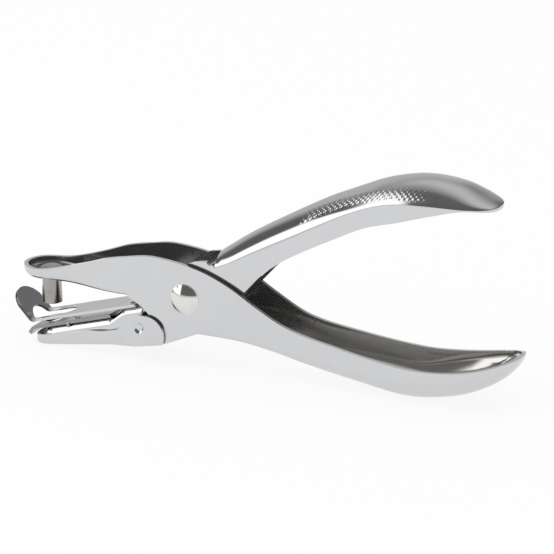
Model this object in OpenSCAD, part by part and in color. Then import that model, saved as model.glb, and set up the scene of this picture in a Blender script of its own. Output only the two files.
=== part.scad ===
// Single hole punch of the plier kind: two stamped channels on one rivet, a punch in the
// upper jaw, a die and a paper guide on the lower jaw, and a hinged tray for the chips.
// Millimetres. +X runs from the jaws to the handles, Y is the pivot axis and +Z is up.
// The open punch stands on its tray, at z = 0.

/* [Reach] */
// From the punch to the pivot
jaw_reach = 46.3; // [44:0.1:48]
// From the pivot to the end of the lower handle
grip_reach = 99; // [94:1:106]
// From the pivot to the end of the upper handle
lever_reach = 91.8; // [88:0.2:96]
// How far the lever turns from open to closed, in degrees
close_angle = 8; // [7:0.1:8.4]

/* [Sheet metal] */
// Thickness of the frame and the lever
sheet = 1.2; // [1:0.05:1.3]
// Width of the frame over its cheeks
cheek_w = 15.8; // [15.4:0.1:16.6]
// Width of the frame's nose
nose_w = 14.8; // [14:0.1:15.4]
// Width of the lower handle at its widest
grip_w = 22.6; // [20:0.1:24]
// Width of the upper handle at its widest
lever_w = 21.8; // [19:0.1:23]

/* [Punch] */
// Diameter of the hole that the punch cuts
punch_d = 6; // [5.5:0.1:6.2]
// How much thinner the punch is at its shoulder
punch_relief = 0.6; // [0.3:0.05:0.8]
// Length of the punch below the frame's nose
punch_len = 8.3; // [7.9:0.1:8.6]
// Diameter of the tenon that is riveted in the nose
tenon_d = 4; // [3.5:0.1:4.2]
// How far the punch ends below the pivot
tip_drop = 9.1; // [8.8:0.1:9.3]
// How far the punch enters the die
bite = 1.3; // [1:0.1:1.5]

/* [Pivot] */
// Diameter of the rivet's shank
rivet_d = 5; // [4.5:0.1:5.4]
// Diameter of the rivet's heads
rivet_head_d = 9; // [8:0.1:10]
// Height of the rivet's heads
rivet_head_h = 1.7; // [1.3:0.1:2.2]
// Wire of the return spring
wire_d = 1.1; // [1:0.05:1.2]
// Whole turns of the return spring
spring_turns = 3; // [2:1:3]

/* [Plates] */
// Slope of the lower jaw when it is open, in degrees
plate_slope = 15.5; // [14:0.5:16]
// Thickness of the die plate
die_t = 1; // [0.9:0.05:1.1]
// Thickness of the paper guide
guide_t = 0.8; // [0.7:0.05:0.9]
// Gap for the paper
paper_slot = 1.2; // [1.1:0.05:1.3]
// Width of the die plate
die_w = 11.2; // [10.8:0.1:11.6]
// Width of the paper guide
guide_w = 12.2; // [11.8:0.1:12.4]
// Length of the guide's turned-up front
tab_len = 10; // [9.4:0.1:10.6]

/* [Tray] */
// Thickness of the chip tray
tray_sheet = 0.8; // [0.7:0.05:0.9]
// Depth of the tray below the die's top face
tray_drop = 6.3; // [6:0.1:6.7]
// Slope of the tray's floor, in degrees
tray_slope = 7.8; // [7.6:0.1:8]
// Diameter of the pressed hinge studs
stud_d = 2.8; // [2.4:0.1:3]

/* [Fits] */
// Play between a shaft and its bore, on the radius
running_fit = 0.05; // [0.03:0.01:0.08]
// Play where a piece is set fast in another, on the radius
seat_fit = 0.02; // [0.01:0.01:0.03]
// Gap between the lever's cheeks and the frame's
side_gap = 0.3; // [0.25:0.05:0.35]
// Play between the punch and the die, on the radius
die_play = 0.28; // [0.26:0.01:0.35]

/* [Hidden] */
$fn = 64;
bend_steps = 9;
wide = 4 * cheek_w;

// Colours
chrome = [0.80, 0.81, 0.82];
satin = [0.62, 0.60, 0.57];
bright = [0.88, 0.88, 0.88];

// Everything is laid out round the pivot, and then set over the middle of the whole length.

// Lower jaw: the die's middle is where the punch meets it halfway through its bite.
// The open punch stands on its tray, which sets the height of the pivot.
aim_angle = close_angle - atan(bite / 2 / jaw_reach);
die_mid = turn([-jaw_reach, bite / 2 - tip_drop], -aim_angle);
pivot_h = tray_drop - die_mid.y;
die_r = punch_d / 2 + die_play;
seat_step = paper_slot + die_t;
ramp = [21.2, 25.2];
guide_end = 30;
rivet_u = 28;
rivet_gauge = 3.2;
guide_rivet_d = 2;

// Frame
nose_r = nose_w / 2;
nose_mid = -jaw_reach - 0.6;
nose_front = nose_mid - nose_r;
floor_z = punch_len - tip_drop;
nose_bend = 2.2;
neck_half = nose_r - 0.7;
cheek = cheek_w / 2;
window_front = -0.4 * jaw_reach;
window_rear = 3.2;
window_depth = -20;
tip_start = grip_reach - 20;
belly_x = 0.69 * grip_reach;
jaw_bend = 2.2;
grip_bend = 4.6;
frame_edge = [
    [-1.17 * jaw_reach, 2.5], [-0.97 * jaw_reach, 2.7], [-0.67 * jaw_reach, 6.6],
    [-0.37 * jaw_reach, 10.6], [-0.22 * jaw_reach, 11.2], [0.04 * grip_reach, 9.2],
    [0.14 * grip_reach, 5.3], [0.22 * grip_reach, 0.6], [0.32 * grip_reach, -4.4],
    [0.47 * grip_reach, -7.5], [0.66 * grip_reach, -10], [0.76 * grip_reach, -10],
    [0.88 * grip_reach, -8.2], [grip_reach, -4.3]
];
frame_web = [
    [0, -10.1], [0.16 * grip_reach, -10.5], [0.27 * grip_reach, -12.2],
    [0.36 * grip_reach, -14.3], [0.56 * grip_reach, -17.75], [belly_x, -19.4],
    [0.8 * grip_reach, -18], [0.89 * grip_reach, -15], [0.97 * grip_reach, -10.1],
    [grip_reach, -7.6]
];
frame_half = [
    [nose_front, nose_r], [nose_mid, nose_r], [-0.8 * jaw_reach, neck_half],
    [-0.55 * jaw_reach, cheek], [-0.42 * jaw_reach, cheek], [0.1 * grip_reach, cheek],
    [0.24 * grip_reach, cheek], [0.33 * grip_reach, cheek], [0.5 * grip_reach, 0.4 * grip_w],
    [0.68 * grip_reach, 0.465 * grip_w], [0.78 * grip_reach, grip_w / 2], [grip_reach, grip_w / 2]
];

// Lever
lever_cheek = cheek - sheet - side_gap;
jaw_mid = die_mid.x + 2.6;
jaw_front = jaw_mid - 5.6;
tray_front = jaw_mid - 7.7;
tray_toe = 2;
toe_lift = 0.1 * tray_drop;
jaw_gap = 0.5;
lever_window_front = -14.2;
lever_window_rear = 8.7;
window_height = 20;
lever_bend = 2;
crown_bend = 5.6;
hump_r = 10.6;
lever_tip_start = lever_reach - 17;
lever_edge = [
    [-14, tray_inside(-14) + jaw_gap], [-9.3, -12], [0, -8.8], [8, -5], [14, 0],
    [18.5, 4.6], [23.4, 10], [28.5, 14], [36, 18.5], [46, 23.8], [0.604 * lever_reach, 28.5],
    [0.711 * lever_reach, 31.8], [0.808 * lever_reach, 35], [0.916 * lever_reach, 37.3],
    [lever_reach, 36.2]
];
lever_web = [
    [0, 8.2], [8.7, 14], [16.7, 19.1], [26.3, 24.6], [40.4, 32.9], [0.543 * lever_reach, 37.5],
    [0.644 * lever_reach, 40.7], [0.762 * lever_reach, 42.1], [0.871 * lever_reach, 41.1],
    [0.947 * lever_reach, 39.6], [lever_reach, 38.3]
];
lever_half = [
    [jaw_front, lever_cheek], [-10, lever_cheek], [8, lever_cheek], [20, lever_cheek],
    [0.32 * lever_reach, 0.32 * lever_w], [0.485 * lever_reach, 0.385 * lever_w],
    [0.65 * lever_reach, 0.45 * lever_w], [0.78 * lever_reach, lever_w / 2], [lever_reach, lever_w / 2]
];

// Chip tray
tray_half = lever_cheek + 0.25 + tray_sheet;
ear_half = cheek + 0.25 + tray_sheet;
stud = [-14, -10.2];
ear_mid = [-11.9, -12.1];
ear_r = 5.7;
tray_rear = ear_mid.x + ear_r + 0.6;
tray_floor_end = stud.x - 3.1;
tray_bend = 1.6;
dimple_r = 1.9;
tray_edge = [
    [tray_front, tray_line(tray_front) + 0.41 * tray_drop], [jaw_mid, tray_line(jaw_mid) + 3.34],
    [-32, tray_line(-32) + 4.22], [-22, tray_line(-22) + 4.72], [-15.5, -6.9],
    [-12, -6.1], [tray_rear, -6.1]
];
tray_wall = [
    [tray_front, tray_half], [jaw_mid, tray_half], [-26, tray_half], [-23.5, tray_half],
    [-18.5, ear_half], [-16, ear_half], [tray_rear, ear_half]
];

// Return spring
coil_r = 4.6;
coil_pitch = wire_d + 0.5;
leg_up = 33;
leg_down = -14;
leg_up_len = 21.5;
leg_down_len = 9;
coil_from = leg_up + 90;
coil_sweep = leg_down - 90 + 360 - coil_from + 360 * spring_turns;
coil_points = round(coil_sweep / 45);
coil_w = coil_pitch * coil_sweep / 360;

// Die plate
tab_u = 6.5;
tab_w = 2;
tab_inset = 0.2;
tab_out = lever_cheek - die_w / 2 + tab_inset;
tab_mid = lever_cheek - tab_out / 2;
lip_root = -die_r - 1.8;
lip_len = 3;
lip_slope = 38;

// Paper guide: its tab reaches furthest forward, so the whole length runs from there.
slot_half = 4.3;
slot_end = 7.2;
tab_root = -4.8;
tab_lean = 118;
tab_half = 6.4;
arch_h = 3.2;
tab_way = tab_lean + plate_slope;
tab_tip = plate_point(tab_root, paper_slot + guide_t / 2) + tab_len * [cos(tab_way), sin(tab_way)];
length_front = tab_tip.x - guide_t / 2 * sin(tab_way);
middle_x = (length_front + grip_reach) / 2;

// Punch
washer_t = 0.6;
head_t = 0.5;
tip_hollow = 0.4;
hollow_r = 10;

// A point turned about the pivot: closing the punch is a positive angle.
function turn(p, a) = [p.x * cos(a) + p.y * sin(a), p.y * cos(a) - p.x * sin(a)];

// A point of the open lower jaw, u along the die plate and w above its top face.
function plate_point(u, w) = die_mid + [
    u * cos(plate_slope) - w * sin(plate_slope),
    u * sin(plate_slope) + w * cos(plate_slope)
];

// Height of the tray's underside at x: its front edge stands on the table.
function tray_line(x) = (x - tray_front - tray_toe) * tan(tray_slope) - pivot_h;

function tray_base(x, inset) = tray_line(x) + inset / cos(tray_slope)
    + toe_lift * ease((tray_front + inset + tray_toe - x) / tray_toe);
function tray_inside(x) = tray_base(x, tray_sheet);

// Cubic curve through the key points k, at x.
function key_slope(k, i) =
    let (a = max(i - 1, 0), b = min(i + 1, len(k) - 1))
    (k[b].y - k[a].y) / (k[b].x - k[a].x);
function key_place(k, x, i = 0) = i >= len(k) - 2 || x <= k[i + 1].x ? i : key_place(k, x, i + 1);
function along(k, x) =
    let (i = key_place(k, x), d = k[i + 1].x - k[i].x, t = (x - k[i].x) / d)
    k[i].y * (1 + 2 * t) * (1 - t) ^ 2 + d * key_slope(k, i) * t * (1 - t) ^ 2
    + k[i + 1].y * t ^ 2 * (3 - 2 * t) - d * key_slope(k, i + 1) * t ^ 2 * (1 - t);

// Round end of an outline: 1 along the sides, falling to 0 at s = 1.
function round_end(s, power) = (1 - s ^ power) ^ (1 / power);
function ease(t) = let (c = min(max(t, 0), 1)) c * c * (3 - 2 * c);
// How much longer a line of height f(x) is than its shadow.
function lean(f, x) = norm([1, f(x + 0.5) - f(x - 0.5)]);

// Half a channel's section from its edge to its middle, as [half width, height].
// side is 1 for a channel that opens upwards and -1 for one that opens downwards.
function half_section(half, edge, web, run, rise, side) = let (
    deep = min(rise, 0.85 * side * (edge - web)),
    across = min(run, 0.93 * half)
) concat(
    [[half, edge]],
    [for (a = [0:90 / bend_steps:90]) [half - across * (1 - cos(a)), web + side * deep * (1 - sin(a))]],
    [[0, web]]
);
function full_section(x, h) = concat(
    [for (p = h) [x, -p.x, p.y]],
    [for (i = [len(h) - 2:-1:0]) [x, h[i].x, h[i].y]]
);

// Stations along a channel: [place, length of a round end, angle round that end].
last_angle = 85;
function plain(x) = [x, 0, 0];
function stations(from, to, step) =
    let (n = ceil((to - from) / step)) [for (i = [0:n]) plain(from + (to - from) * i / n)];
function end_stations(mid, length) = [for (a = [last_angle:-17:17]) [mid, length, a]];
function reversed(list) = [for (i = [len(list) - 1:-1:0]) list[i]];
// Where a station lies on the outer skin (inset 0) or on the inner one (inset by the sheet).
function place(s, inset) = s[0] + (s[1] - sign(s[1]) * inset) * sin(s[2]) / sin(last_angle);

// A sheet channel between two skins that are lists of rows. An end is cut open or has a wall.
module channel(outer, inner, side, front_closed, rear_closed) {
    cols = len(outer[0]);
    last = len(outer) - 1;
    count = len(outer) * cols;
    quads = concat(
        [for (i = [0:last - 1]) for (j = [0:cols - 2])
            [i * cols + j, (i + 1) * cols + j, (i + 1) * cols + j + 1, i * cols + j + 1]],
        [for (i = [0:last - 1]) for (j = [0:cols - 2])
            [count + i * cols + j, count + i * cols + j + 1,
             count + (i + 1) * cols + j + 1, count + (i + 1) * cols + j]],
        [for (i = [0:last - 1])
            [i * cols, count + i * cols, count + (i + 1) * cols, (i + 1) * cols]],
        [for (i = [0:last - 1])
            [(i + 2) * cols - 1, count + (i + 2) * cols - 1,
             count + (i + 1) * cols - 1, (i + 1) * cols - 1]]
    );
    faces = concat(
        [for (q = quads) each [[q[0], q[1], q[2]], [q[0], q[2], q[3]]]],
        end_faces(0, cols, count, front_closed),
        [for (f = end_faces(last * cols, cols, count, rear_closed)) reversed(f)]
    );
    polyhedron(
        points = [for (row = concat(outer, inner)) each row],
        faces = side > 0 ? faces : [for (f = faces) reversed(f)],
        convexity = 6
    );
}
function end_faces(base, cols, count, closed) = let (a = base, b = base + cols - 1) closed
    ? concat(
        [for (j = [a + 1:b - 1]) [a, j, j + 1]],
        [for (j = [a + 1:b - 1]) [count + a, count + j + 1, count + j]],
        [[a, b, count + b], [a, count + b, count + a]]
    )
    : [for (j = [a:b - 1]) each [[j, j + 1, count + j + 1], [j, count + j + 1, count + j]]];

// A bar of the side outline, right through the object.
module side_cut(outline) {
    rotate([90, 0, 0]) translate([0, 0, -wide / 2]) linear_extrude(wide) polygon(outline);
}
module cross_bore(at, d) {
    translate([at.x, 0, at.y]) rotate([90, 0, 0]) cylinder(h = wide, d = d, center = true);
}
function arc(mid, r, from, to, step) = [for (a = [from:step:to]) mid + r * [cos(a), sin(a)]];

// Puts a piece that is laid out round the pivot in the object's frame.
module placed() {
    translate([-middle_x, 0, pivot_h]) children();
}
// Puts a piece of the open lower jaw on it, with its origin in the middle of the die's top face.
module on_jaw() {
    translate([die_mid.x, 0, die_mid.y]) rotate([0, -plate_slope, 0]) children();
}

// Frame: upper jaw, cheeks and lower handle in one stamping that opens upwards.
function in_window(x, from, to) = x > from + 0.5 && x < to - 0.5;
function nose_lift(x, inset) =
    let (r = nose_bend - inset, s = min(max(x - nose_front - inset, 0), r))
    r - sqrt(r ^ 2 - (r - s) ^ 2);
function frame_floor(x, inset) =
    x <= window_front + 0.5 ? floor_z + inset + nose_lift(x, inset)
    : in_window(x, window_front, window_rear) ? window_depth + inset
    : along(frame_web, x) + inset * lean(function (x) along(frame_web, x), x);
function frame_bend(x) =
    x <= window_front + 0.5
    ? jaw_bend + (sheet + 0.15 - jaw_bend) * ease((x - nose_mid) / (window_front - nose_mid))
    : sheet + 0.15 + (grip_bend - sheet - 0.15) * ease((x - window_rear) / (tip_start - window_rear));
function frame_row(s, inset) = let (
    x = place(s, inset),
    jaw = x <= window_front + 0.5,
    half = (along(frame_half, x) - inset) * round_end(sin(s[2]), jaw ? 2 : 2.4),
    grown = ease((x - window_rear) / (tip_start - window_rear)),
    rise = frame_bend(x) - inset,
    run = rise + (jaw ? 0 : grown * max(0.6 * half - grip_bend, 0))
) full_section(x, half_section(half, along(frame_edge, x), frame_floor(x, inset), run, rise, 1));
frame_stations = concat(
    end_stations(nose_mid, -nose_r),
    stations(nose_mid, window_front - 1, 3),
    [plain(window_front + 0.2), plain(window_front + 0.8)],
    stations(window_front + 5, window_rear - 4, 5),
    [plain(window_rear - 0.8), plain(window_rear - 0.2)],
    stations(window_rear + 3, belly_x, 4),
    stations(belly_x + 3, tip_start, 4),
    reversed(end_stations(tip_start, grip_reach - tip_start))
);

// The cheeks are cut away below the throat, clear of the tray's studs.
throat = concat(
    [[window_front, -wide], [window_front, floor_z + sheet + 0.4]],
    [[window_front + 0.85, floor_z + sheet + 0.4], [window_front + 0.9, -2.1], [-14, -3.6]],
    arc([-19, -11.6], 9.4, 50, -8, -8),
    [[-8.4, -14], [-7.2, -14.4], [-5.8, -14.2], [window_rear, -10.1], [window_rear, -wide]]
);

module frame() {
    color(chrome) placed() difference() {
        channel(
            [for (s = frame_stations) frame_row(s, 0)],
            [for (s = frame_stations) frame_row(s, sheet)],
            1, true, true
        );
        side_cut(throat);
        cross_bore([0, 0], rivet_d + 2 * seat_fit);
        translate([-jaw_reach, 0, 0]) cylinder(h = wide, d = tenon_d + 2 * seat_fit, center = true);
    }
}

// Lever: upper handle, cheeks and lower jaw in one stamping that opens downwards.
function jaw_line(x) =
    let (
        u = (x - die_mid.x) / cos(plate_slope),
        w = -die_t + seat_step * ease((u - ramp[0]) / (ramp[1] - ramp[0]))
    )
    die_mid.y + (x - die_mid.x) * tan(plate_slope) + w / cos(plate_slope);
function jaw_low(x) = x < -14 ? tray_inside(x) + jaw_gap : along(lever_edge, x);
function lever_roof(x, inset) =
    x <= lever_window_front + 0.5 ? jaw_line(x) - inset * lean(function (x) jaw_line(x), x)
    : in_window(x, lever_window_front, lever_window_rear) ? window_height - inset
    : along(lever_web, x) - inset * lean(function (x) along(lever_web, x), x);
function lever_row(s, inset) = let (
    x = place(s, inset),
    jaw = x <= lever_window_front + 0.5,
    half = (along(lever_half, x) - inset) * round_end(sin(s[2]), jaw ? 2.6 : 2.3),
    run = jaw ? lever_bend - inset : 0.93 * half,
    rise = jaw ? lever_bend - inset : crown_bend - inset
) full_section(x, half_section(half, jaw_low(x), lever_roof(x, inset), run, rise, -1));
ramp_x = plate_point(ramp[0], 0).x;
lever_stations = concat(
    end_stations(jaw_mid, jaw_front - jaw_mid),
    stations(jaw_mid, ramp_x, 4),
    stations(ramp_x + 0.8, lever_window_front - 0.8, 0.9),
    [plain(lever_window_front + 0.2), plain(lever_window_front + 0.8)],
    stations(lever_window_front + 5, lever_window_rear - 4, 5),
    [plain(lever_window_rear - 0.8), plain(lever_window_rear - 0.2)],
    stations(lever_window_rear + 3, lever_tip_start, 3.5),
    reversed(end_stations(lever_tip_start, lever_reach - lever_tip_start))
);

// The cheeks are rounded over the pivot and rise to the front of the handle.
lever_crown = concat(
    [[lever_window_front, wide], [lever_window_front, jaw_line(lever_window_front) - 0.3], [-12.2, -4]],
    arc([0, 0], hump_r, 170, 80, -9),
    [[6.2, 11.7], [lever_window_rear, 11.9], [lever_window_rear, wide]]
);

module lever() {
    slit = tab_out + 1.2;
    color(chrome) placed() difference() {
        channel(
            [for (s = lever_stations) lever_row(s, 0)],
            [for (s = lever_stations) lever_row(s, sheet)],
            -1, true, true
        );
        side_cut(lever_crown);
        cross_bore([7.5, 12], 2.2);
        cross_bore([0, 0], rivet_d + 2 * running_fit);
        cross_bore(stud, stud_d + 2 * running_fit);
        on_jaw() {
            cylinder(h = wide, r = die_r + 0.5, center = true);
            for (s = [-1, 1]) {
                translate([rivet_u, s * rivet_gauge, 0])
                    cylinder(h = wide, d = guide_rivet_d + 2 * seat_fit, center = true);
                translate([tab_u - tab_w / 2 - 0.15, s * (tab_mid + 0.5) - slit / 2, -die_t - 1.7])
                    cube([tab_w + 0.3, slit, 4]);
            }
        }
    }
}

// Pivot
module rivet_head() {
    r = (rivet_head_h ^ 2 + rivet_head_d ^ 2 / 4) / (2 * rivet_head_h);
    intersection() {
        translate([0, 0, rivet_head_h - r]) sphere(r = r);
        cylinder(h = rivet_head_h + 1, d = rivet_head_d);
    }
}
module pivot_rivet() {
    color(bright) placed() {
        rotate([90, 0, 0]) cylinder(h = cheek_w + 0.4, d = rivet_d, center = true);
        for (side = [-1, 1])
            rotate([side * 90, 0, 0]) translate([0, 0, cheek + seat_fit]) rivet_head();
    }
}
module pivot_bush() {
    color(satin) placed() rotate([90, 0, 0]) difference() {
        cylinder(h = 2 * (lever_cheek - sheet - 0.1), d = rivet_d + 1.6, center = true);
        cylinder(h = wide, d = rivet_d + 2 * seat_fit, center = true);
    }
}

// Return spring: a torsion spring round the bush, with its long leg under the upper handle.
function coil_point(i) =
    let (a = coil_from + coil_sweep * i / coil_points)
    [coil_r * cos(a), coil_w * (i / coil_points - 0.5), coil_r * sin(a)];
function leg_point(a, b, d, side) =
    coil_r * [cos(a), 0, sin(a)] + d * [cos(b), 0, sin(b)] + [0, side * coil_w / 2, 0];
spring_path = concat(
    [for (d = [leg_up_len, leg_up_len / 2, 2.4]) leg_point(coil_from, leg_up, d, -1)],
    [for (i = [0:coil_points]) coil_point(i)],
    [for (d = [2.4, leg_down_len]) leg_point(leg_down - 90, leg_down, d, 1)]
);
function path_way(p, i) =
    let (t = p[min(i + 1, len(p) - 1)] - p[max(i - 1, 0)]) t / norm(t);
function ring(p, i, r, sides) =
    let (t = path_way(p, i), n = cross(t, [0, 1, 0]) / norm(cross(t, [0, 1, 0])), b = cross(t, n))
    [for (k = [0:sides - 1]) p[i] + r * (cos(360 * k / sides) * n + sin(360 * k / sides) * b)];
module tube(path, r, sides) {
    last = len(path) - 1;
    polyhedron(
        points = [for (i = [0:last]) each ring(path, i, r, sides)],
        faces = concat(
            [for (i = [0:last - 1]) for (k = [0:sides - 1])
                let (a = i * sides, m = (k + 1) % sides)
                each [[a + k, a + sides + m, a + m], [a + k, a + sides + k, a + sides + m]]],
            [for (k = [1:sides - 2]) [0, k, k + 1]],
            [for (k = [1:sides - 2]) [last * sides, last * sides + k + 1, last * sides + k]]
        ),
        convexity = 8
    );
}
spring_gap = min([for (i = [0:len(spring_path) - 1]) for (j = [i + 5:1:len(spring_path) - 1])
    norm(spring_path[i] - spring_path[j]) - wire_d]);
echo("least gap of the return spring to itself", spring_gap);
module return_spring() {
    color(satin) placed() tube(spring_path, wire_d / 2, 6);
}

// Punch
module punch_pin() {
    shoulder_d = punch_d - punch_relief;
    head_d = tenon_d + 2.4;
    head_z = floor_z + sheet + washer_t;
    color(satin) placed() translate([-jaw_reach, 0, 0]) {
        difference() {
            translate([0, 0, -tip_drop]) cylinder(h = punch_len - seat_fit, d1 = punch_d, d2 = shoulder_d);
            translate([0, 0, tip_hollow - tip_drop - hollow_r]) sphere(r = hollow_r);
        }
        translate([0, 0, floor_z - 0.5]) cylinder(h = head_z - floor_z + 0.6, d = tenon_d);
        translate([0, 0, head_z + seat_fit]) cylinder(h = head_t, d = head_d);
        translate([0, 0, head_z + seat_fit + head_t]) cylinder(h = 0.4, d1 = head_d, d2 = tenon_d - 0.4);
    }
}
module punch_washer() {
    color(satin) placed() translate([-jaw_reach, 0, floor_z + sheet + seat_fit]) difference() {
        cylinder(h = washer_t - seat_fit, d = tenon_d + 3.4);
        cylinder(h = wide, d = tenon_d + 2 * seat_fit, center = true);
    }
}

// Die plate: flat, with a lip bent down in front and a tab bent into each cheek.
module lip_outline(from, to, half, r) {
    translate([from + r, -half]) square([to - from - r, 2 * half]);
    translate([from, r - half]) square([2 * r, 2 * (half - r)]);
    for (s = [-1, 1]) translate([from + r, s * (half - r)]) circle(r = r);
}
module die_plate() {
    color(chrome) placed() on_jaw() difference() {
        union() {
            translate([0, 0, -die_t]) linear_extrude(die_t)
                translate([lip_root, -die_w / 2]) square([ramp[0] - 0.4 - lip_root, die_w]);
            translate([lip_root, 0, 0]) rotate([0, -lip_slope, 0]) translate([0, 0, -die_t])
                linear_extrude(die_t) lip_outline(-lip_len, 0.6, die_w / 2, 1.6);
            for (s = [-1, 1])
                translate([tab_u - tab_w / 2, s * tab_mid - tab_out / 2, -die_t - 1.5])
                    cube([tab_w, tab_out, die_t + 1.5]);
        }
        cylinder(h = wide, r = die_r, center = true);
    }
}

// Paper guide: a plate over the die with a slot for the punch and a front that is turned up.
module guide_flat() {
    difference() {
        translate([tab_root, -guide_w / 2]) square([guide_end - tab_root, guide_w]);
        translate([slot_end - slot_half, 0]) circle(r = slot_half);
        translate([tab_root - 1, -slot_half]) square([slot_end - slot_half - tab_root + 1, 2 * slot_half]);
        for (s = [-1, 1]) translate([rivet_u, s * rivet_gauge]) circle(d = guide_rivet_d + 2 * seat_fit);
    }
}
module guide_tab() {
    difference() {
        union() {
            translate([-guide_t / 2, -guide_w / 2]) square([tab_len - tab_half + guide_t / 2, guide_w]);
            intersection() {
                translate([tab_len - tab_half, 0]) circle(r = tab_half);
                translate([0, -guide_w / 2]) square([tab_len, guide_w]);
            }
        }
        translate([arch_h - slot_half, 0]) circle(r = slot_half);
        translate([-1, -slot_half]) square([1 + arch_h - slot_half + 0.01, 2 * slot_half]);
    }
}
module paper_guide() {
    color(chrome) placed() on_jaw() {
        translate([0, 0, paper_slot]) linear_extrude(guide_t) guide_flat();
        translate([tab_root, 0, paper_slot + guide_t / 2]) rotate([0, -tab_lean, 0])
            translate([0, 0, -guide_t / 2]) linear_extrude(guide_t) guide_tab();
    }
}
module guide_rivet(side) {
    top = paper_slot + guide_t;
    color(bright) placed() on_jaw() translate([rivet_u, side * rivet_gauge, 0]) {
        translate([0, 0, paper_slot - sheet - 0.3]) cylinder(h = guide_t + sheet + 0.5, d = guide_rivet_d);
        translate([0, 0, top + seat_fit])
            cylinder(h = head_t, d1 = guide_rivet_d + 1.2, d2 = guide_rivet_d + 0.4);
        translate([0, 0, paper_slot - sheet - 0.6]) cylinder(h = head_t, d = guide_rivet_d + 1);
    }
}
module guide_rivet_near() { guide_rivet(-1); }
module guide_rivet_far() { guide_rivet(1); }

// Chip tray: a shallow trough round the lower jaw, hung on two studs pressed into its ears.
function tray_floor(x, inset) =
    x > tray_floor_end + 0.5 ? window_depth - pivot_h + inset
    : tray_base(x, inset);
function tray_row(s, inset) = let (
    x = place(s, inset),
    half = (along(tray_wall, x) - inset) * round_end(sin(s[2]), 2.6),
    bend = tray_bend - inset
) full_section(x, half_section(half, along(tray_edge, x), tray_floor(x, inset), bend, bend, 1));
tray_stations = concat(
    end_stations(jaw_mid, tray_front - jaw_mid),
    stations(jaw_mid, -24, 4),
    stations(-23, tray_floor_end - 0.6, 1.2),
    [plain(tray_floor_end + 0.2), plain(tray_floor_end + 0.8)],
    stations(tray_floor_end + 3, tray_rear, 3)
);
// What is cut away behind the floor and round the ears.
ear_cut = concat(
    [[ear_mid.x, wide]],
    arc(ear_mid, ear_r, 90, -22, -8),
    [[tray_floor_end, tray_line(tray_floor_end) + 0.15], [tray_floor_end, -wide]],
    [[wide, -wide], [wide, wide]]
);
module chip_tray() {
    stud_from = ear_half - tray_sheet / 2;
    color(chrome) placed() difference() {
        union() {
            difference() {
                channel(
                    [for (s = tray_stations) tray_row(s, 0)],
                    [for (s = tray_stations) tray_row(s, tray_sheet)],
                    1, true, false
                );
                side_cut(ear_cut);
            }
            for (s = [-1, 1]) translate([stud.x, s * stud_from, stud.y]) rotate([s * 90, 0, 0])
                cylinder(h = stud_from - (lever_cheek - sheet), d = stud_d);
        }
        for (s = [-1, 1]) translate([stud.x, s * (ear_half + 1.1), stud.y]) sphere(r = dimple_r);
    }
}

frame();
lever();
pivot_rivet();
pivot_bush();
return_spring();
punch_pin();
punch_washer();
die_plate();
paper_guide();
guide_rivet_near();
guide_rivet_far();
chip_tray();
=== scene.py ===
import bpy
import numpy as np
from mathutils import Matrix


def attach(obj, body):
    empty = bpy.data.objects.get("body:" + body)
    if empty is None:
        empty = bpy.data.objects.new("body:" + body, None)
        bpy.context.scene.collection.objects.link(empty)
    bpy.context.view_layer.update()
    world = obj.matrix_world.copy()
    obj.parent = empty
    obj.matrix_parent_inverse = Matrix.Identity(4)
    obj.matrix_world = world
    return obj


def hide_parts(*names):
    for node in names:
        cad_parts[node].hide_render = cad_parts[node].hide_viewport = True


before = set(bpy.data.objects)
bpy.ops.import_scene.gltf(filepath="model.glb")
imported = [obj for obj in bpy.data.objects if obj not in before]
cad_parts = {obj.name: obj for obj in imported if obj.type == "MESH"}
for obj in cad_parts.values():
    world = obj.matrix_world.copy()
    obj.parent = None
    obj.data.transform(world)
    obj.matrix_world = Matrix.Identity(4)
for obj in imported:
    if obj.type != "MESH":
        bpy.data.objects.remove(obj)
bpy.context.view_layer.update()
print("frame loaded with", len(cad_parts), "nodes")

# shapes are worked out in millimetres round the pivot, then put in the frame's metres
layout = {"middle": 20.9482, "pivotHeight": 20.4829, "jawReach": 46.3, "sheet": 1.2, "seat": 0.02,
          "bendMost": 0.8, "weld": 0.002, "rimAngle": 38}


def toMetres(points):
    return (points + np.array([-layout["middle"], 0.0, layout["pivotHeight"]])) * 0.001


def ease(t):  # 0 to 1 with level ends
    c = np.clip(t, 0, 1)
    return c * c * (3 - 2 * c)


def easeOver(x, span):  # ease from span's first value on, over a length of its second
    return ease((x - span[0]) / span[1])


def circular(x):  # the power that makes a bend a quarter circle, for every x
    return np.full(len(x), 2.0)


def along(keys, x):  # cubic through the key points, each slope taken from its two neighbours
    k = np.array(keys, float)
    x = np.asarray(x, float)
    last = len(k) - 1
    before = np.maximum(np.arange(last + 1) - 1, 0)
    after = np.minimum(np.arange(last + 1) + 1, last)
    slope = (k[after, 1] - k[before, 1]) / (k[after, 0] - k[before, 0])
    i = np.clip(np.searchsorted(k[:, 0], x) - 1, 0, last - 1)
    inside = np.clip(x, k[0, 0], k[-1, 0])
    d = k[i + 1, 0] - k[i, 0]
    t = (inside - k[i, 0]) / d
    curve = (k[i, 1] * (1 + 2 * t) * (1 - t) ** 2 + d * slope[i] * t * (1 - t) ** 2
             + k[i + 1, 1] * t ** 2 * (3 - 2 * t) - d * slope[i + 1] * t ** 2 * (1 - t))
    return curve + (x - inside) * np.where(x < k[0, 0], slope[0], slope[-1])


def flowing(keys, x, width):  # the same curve averaged over a bell of that width, so reflections run on
    shift = np.linspace(-2, 2, 17) * width
    weight = np.exp(-0.5 * (shift / width) ** 2)
    return (along(keys, np.asarray(x)[..., None] + shift) * weight).sum(-1) / weight.sum()


def roundOff(s, power):  # 1 at s = 0, falling to 0 at s = 1 like the end of a round bar
    return (1 - np.clip(s, 0, 1) ** power) ** (1 / power)


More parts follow.
